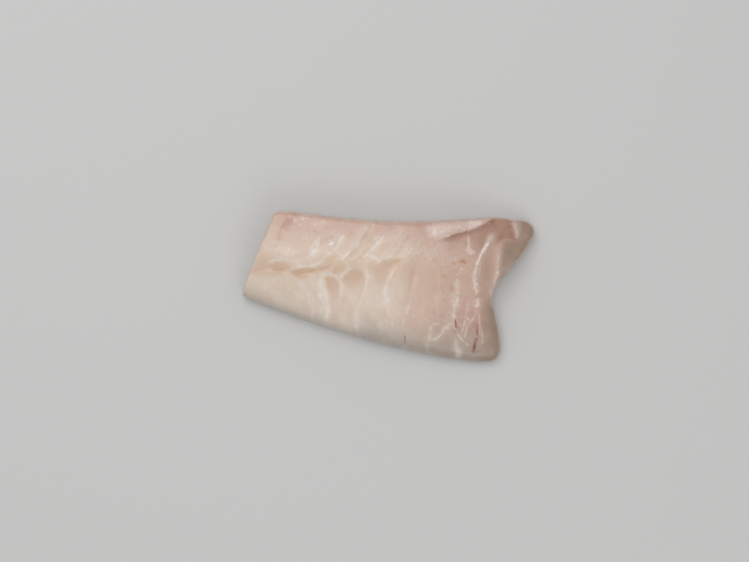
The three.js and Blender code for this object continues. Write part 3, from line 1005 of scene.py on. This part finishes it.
def flesh_colour(start, place, colours, grain):
    """The flesh's colour, each tone laid over those before it, and the share of white in it: membrane and
    painted highlights.
    """
    mottle, patchy, fine, streaks = grain
    speckle = fine - 0.5
    rings = cut_rings(start, place)
    cut = painted(start, "cut")
    ring_lines = cut * rings.over(0.84, 6) * (0.05 + 0.25 * patchy + 0.2 * mottle)
    ring_flesh = cut * (1 - rings).over(0.2, 1) * (0.15 + 0.35 * mottle)
    white = (painted(start, "white") * (0.55 + 0.65 * patchy + 0.2 * streaks) + ring_lines).clamp()

    def tone(name):
        return (*getattr(colours, name), 1)

    skin = (0.5 * mottle + 0.5 * streaks + 1.4 * speckle).clamp().mix(tone("flesh"), tone("pale"))
    layers = (
        ("rose", painted(start, "rose") * (0.75 + 0.3 * mottle + 0.2 * streaks - 0.5 * speckle)),
        # Ash: painted shade along the belly edge, and thin flesh
        ("ash_and_shade", painted(start, "ash_and_shade")),
        # Tan: flesh in the wells, and painted shade beside the seams
        ("tan", painted(start, "tan") * (0.6 + 0.35 * mottle + 0.4 * streaks)),
        ("tan", ring_flesh),
        ("glassy", painted(start, "glassy") * (0.8 + 0.3 * mottle)),
        # Umber: painted shadow under the lip and along the sill, and brown flesh
        ("umber_and_shade", painted(start, "umber_and_shade") * (0.7 + 0.3 * patchy + 0.2 * streaks)),
        ("rust", painted(start, "rust") * (0.5 + 0.7 * patchy)),
        # White membrane and the painted highlights
        ("membrane_and_glints", white),
        ("blood", painted(start, "blood") * (0.9 + 0.5 * fine)),
    )
    for name, share in layers:
        skin = share.clamp().mix(skin, tone(name))
    return skin, white


def flesh_material(colours):
    """Moist, slightly glassy flesh, wetter where it is white."""
    material = bpy.data.materials.new("moist_cod_flesh")
    material.use_nodes = True
    tree = material.node_tree
    start = Wire(tree)
    place = start.add_node("ShaderNodeTexCoord", output="Object")
    grain = flesh_grain(start, place)
    skin, white = flesh_colour(start, place, colours, grain)
    roughness = ROUGHNESS + 0.12 * (grain.patchy - 0.5) + 0.12 * (grain.mottle - 0.5) - 0.14 * white
    height = 0.22 * grain.fine + 0.45 * grain.patchy + 0.6 * grain.streaks
    bump = start.add_node("ShaderNodeBump", None, {**BUMP, "Height": height})

    shader = tree.nodes["Principled BSDF"]
    for name, wire in {"Base Color": skin, "Roughness": roughness, "Normal": bump}.items():
        tree.links.new(wire.socket, shader.inputs[name])
    for name, value in FINISH.items():
        shader.inputs[name].default_value = value
    return material


class FILLET_OT_flesh(bpy.types.Operator):
    """Model the fillet's flaked flesh over its solid, and colour it"""

    bl_idname = "fillet.flesh"
    bl_label = "Model the flesh"

    def execute(self, context):
        piece = copy_of_solid("fillet", "cod_flesh")
        apply_modifier(piece, "SUBSURF", levels=SMOOTHING, render_levels=SMOOTHING)
        fill_base()
        bpy.ops.object.shade_smooth()

        faces = fillet_faces(piece)
        streaks = 0.5 + (flake_streaks(faces.top.plan) - 0.5) * faces.top.shown
        press_relief(piece, faces, streaks, context.scene.fillet_sizes)
        paint_flesh(piece, faces, streaks)
        piece.data.materials.clear()
        piece.data.materials.append(flesh_material(context.scene.fillet_colours))

        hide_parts("fillet")
        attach(piece, "root")
        return {"FINISHED"}


# Stage

PHOTO_SIZE = (749, 562)  # pixels
FILLET_LENGTH = 291  # pixels
FILLET_MIDDLE = (388.5, 286.5)  # pixels, the middle of its box
SENSOR = 36  # mm
FLOOR_SIZE = 8  # m
FLOOR_DROP = 0.2 * MM
FLOOR_COLOUR = (0.58, 0.58, 0.575, 1)
FLOOR_ROUGHNESS = 0.9
SKY_COLOUR = (1, 1, 1, 1)
KEY_PLACE = (-0.3, 0.6, 1.2)  # m
KEY_SIZE = 1.2  # m
FILL_PLACE = (0.3, -0.9, 0.9)
FILL_SIZE = 0.7
GLINT_PLACE = (-0.5, 0.7, 0.95)
GLINT_SIZE = 0.14


def soft_light(name, place, size, watts):
    """A square area light that faces the fillet."""
    bpy.ops.object.light_add(type="AREA", location=place)
    light = bpy.context.object
    light.name = name
    light.data.size = size
    light.data.energy = watts
    light.rotation_euler = (-Vector(place)).to_track_quat("-Z", "Y").to_euler()


def even_sky(scene, strength):
    world = scene.world or bpy.data.worlds.new("studio")
    scene.world = world
    world.use_nodes = True
    sky = world.node_tree.nodes["Background"]
    sky.inputs["Color"].default_value = SKY_COLOUR
    sky.inputs["Strength"].default_value = strength


def pale_floor():
    bpy.ops.mesh.primitive_plane_add(size=FLOOR_SIZE, location=(0, 0, -FLOOR_DROP))
    floor = bpy.context.object
    floor.name = "floor"
    material = bpy.data.materials.new("pale_floor")
    material.use_nodes = True
    shader = material.node_tree.nodes["Principled BSDF"]
    shader.inputs["Base Color"].default_value = FLOOR_COLOUR
    shader.inputs["Roughness"].default_value = FLOOR_ROUGHNESS
    floor.data.materials.append(material)


def overhead_camera(height):
    """Looks straight down, framed as the photograph is."""
    low, high = CAD_BOX
    pixel = (high.x - low.x) / FILLET_LENGTH
    place = (
        (PHOTO_SIZE[0] / 2 - FILLET_MIDDLE[0]) * pixel,
        (FILLET_MIDDLE[1] - PHOTO_SIZE[1] / 2) * pixel,
        height,
    )
    bpy.ops.object.camera_add(location=place, rotation=(0, 0, 0))
    camera = bpy.context.object
    camera.data.sensor_width = SENSOR
    camera.data.lens = SENSOR * height / (PHOTO_SIZE[0] * pixel)
    bpy.context.scene.camera = camera


class FILLET_OT_stage(bpy.types.Operator):
    """Set a pale floor, soft light and an overhead camera"""

    bl_idname = "fillet.stage"
    bl_label = "Set the stage"

    def execute(self, context):
        stage = context.scene.fillet_stage
        deselect_all()
        pale_floor()
        soft_light("key_light", KEY_PLACE, KEY_SIZE, stage.key_power)
        soft_light("fill_light", FILL_PLACE, FILL_SIZE, stage.fill_power)
        soft_light("glint_light", GLINT_PLACE, GLINT_SIZE, stage.glint_power)
        overhead_camera(stage.camera_height)
        even_sky(context.scene, stage.sky)
        context.scene.view_settings.view_transform = "Standard"
        return {"FINISHED"}


class FILLET_PT_sidebar(bpy.types.Panel):
    bl_idname = "FILLET_PT_sidebar"
    bl_label = "Cod Fillet"
    bl_space_type = "VIEW_3D"
    bl_region_type = "UI"
    bl_category = "Fillet"

    def draw(self, context):
        scene = context.scene
        for group in (scene.fillet_sizes, scene.fillet_colours, scene.fillet_stage):
            box = self.layout.box()
            for name in group.__annotations__:
                box.prop(group, name)
        for operator in (FILLET_OT_flesh, FILLET_OT_stage):
            self.layout.operator(operator.bl_idname)


CLASSES = (FilletColours, FilletSizes, FilletStage, FILLET_OT_flesh, FILLET_OT_stage, FILLET_PT_sidebar)


def register():
    for cls in CLASSES:
        bpy.utils.register_class(cls)
    bpy.types.Scene.fillet_colours = bpy.props.PointerProperty(type=FilletColours)
    bpy.types.Scene.fillet_sizes = bpy.props.PointerProperty(type=FilletSizes)
    bpy.types.Scene.fillet_stage = bpy.props.PointerProperty(type=FilletStage)


def unregister():
    del bpy.types.Scene.fillet_stage
    del bpy.types.Scene.fillet_sizes
    del bpy.types.Scene.fillet_colours
    for cls in reversed(CLASSES):
        bpy.utils.unregister_class(cls)


def main():
    register()
    bpy.ops.fillet.flesh()
    bpy.ops.fillet.stage()


if __name__ == "__main__":
    main()
